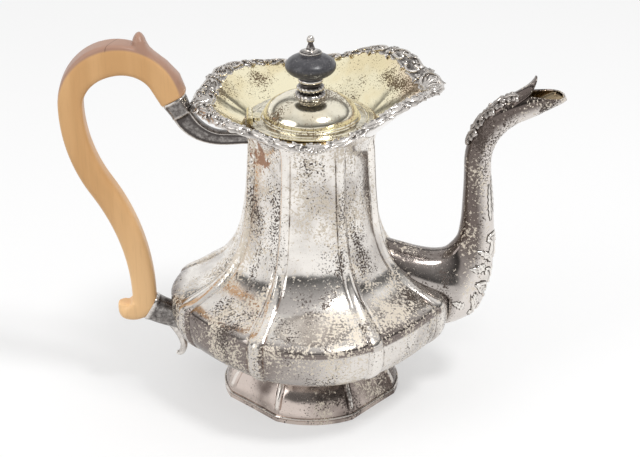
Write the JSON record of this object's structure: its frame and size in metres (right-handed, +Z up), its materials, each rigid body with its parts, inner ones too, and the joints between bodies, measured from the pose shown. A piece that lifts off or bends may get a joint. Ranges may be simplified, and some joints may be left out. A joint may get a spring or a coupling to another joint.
{
  "type": "coffee pot",
  "caption": "Footed silver coffee pot with a lobed body, ribbed neck, flared scroll-bordered collar, S-shaped spout, hinged gilt lid with a black wooden knob, and a scrolled wooden handle",
  "frame": {"origin": "on the ground, in the middle of the footprint, on the axis of the pot", "axes": "+Z up along the pot axis, +X towards the spout, -X towards the handle, -Y towards the viewer of the picture"},
  "size_m": [0.2999, 0.1738, 0.2336],
  "materials": {
    "silver_plate": "hammered and worn silver plate, softly polished, with fine dark speckle and warm metal showing at its edges",
    "silver_cast": "cast silver, bright on its high points and dark in its recesses",
    "gilt": "pale gold wash, worn and speckled brown",
    "fruitwood": "carved honey-coloured fruitwood, waxed, with fine lengthwise grain",
    "ebony": "turned black hardwood, satin",
    "silver_wire": "drawn silver wire",
    "brass_rod": "turned and threaded brass"
  },
  "bodies": {
    "pot": {"foot_band": "silver_plate", "foot": "silver_plate", "belly_bowl": "silver_plate", "neck_shell": "silver_plate", "spout_tube": "silver_plate", "lid_seat_ring": "silver_plate", "rim_border": "silver_cast", "spout_crest": "silver_cast", "spout_base_scroll": "silver_cast", "upper_socket": "silver_cast", "lower_socket": "silver_cast", "lower_socket_leaf": "silver_cast", "body_hinge_knuckles": "silver_cast", "mouth_collar": "gilt", "handle_grip": "fruitwood", "hinge_pin": "silver_wire", "upper_socket_pin": "silver_wire", "lower_socket_pin": "silver_wire"},
    "lid": {"lid_cover": "gilt", "lid_bezel": "silver_plate", "lid_hinge_leaf": "silver_cast", "finial_collar": "silver_cast", "finial_knob": "ebony", "finial_cap": "silver_plate", "finial_top": "silver_plate", "finial_stud": "brass_rod", "finial_nut": "brass_rod"}
  },
  "joints": [
    {"name": "lid_hinge", "type": "hinge", "parent": "pot", "child": "lid", "pos_m": [-0.036, 0, 0.1809], "axis": [0, -1, 0], "range_deg": [0, 80]}
  ]
}
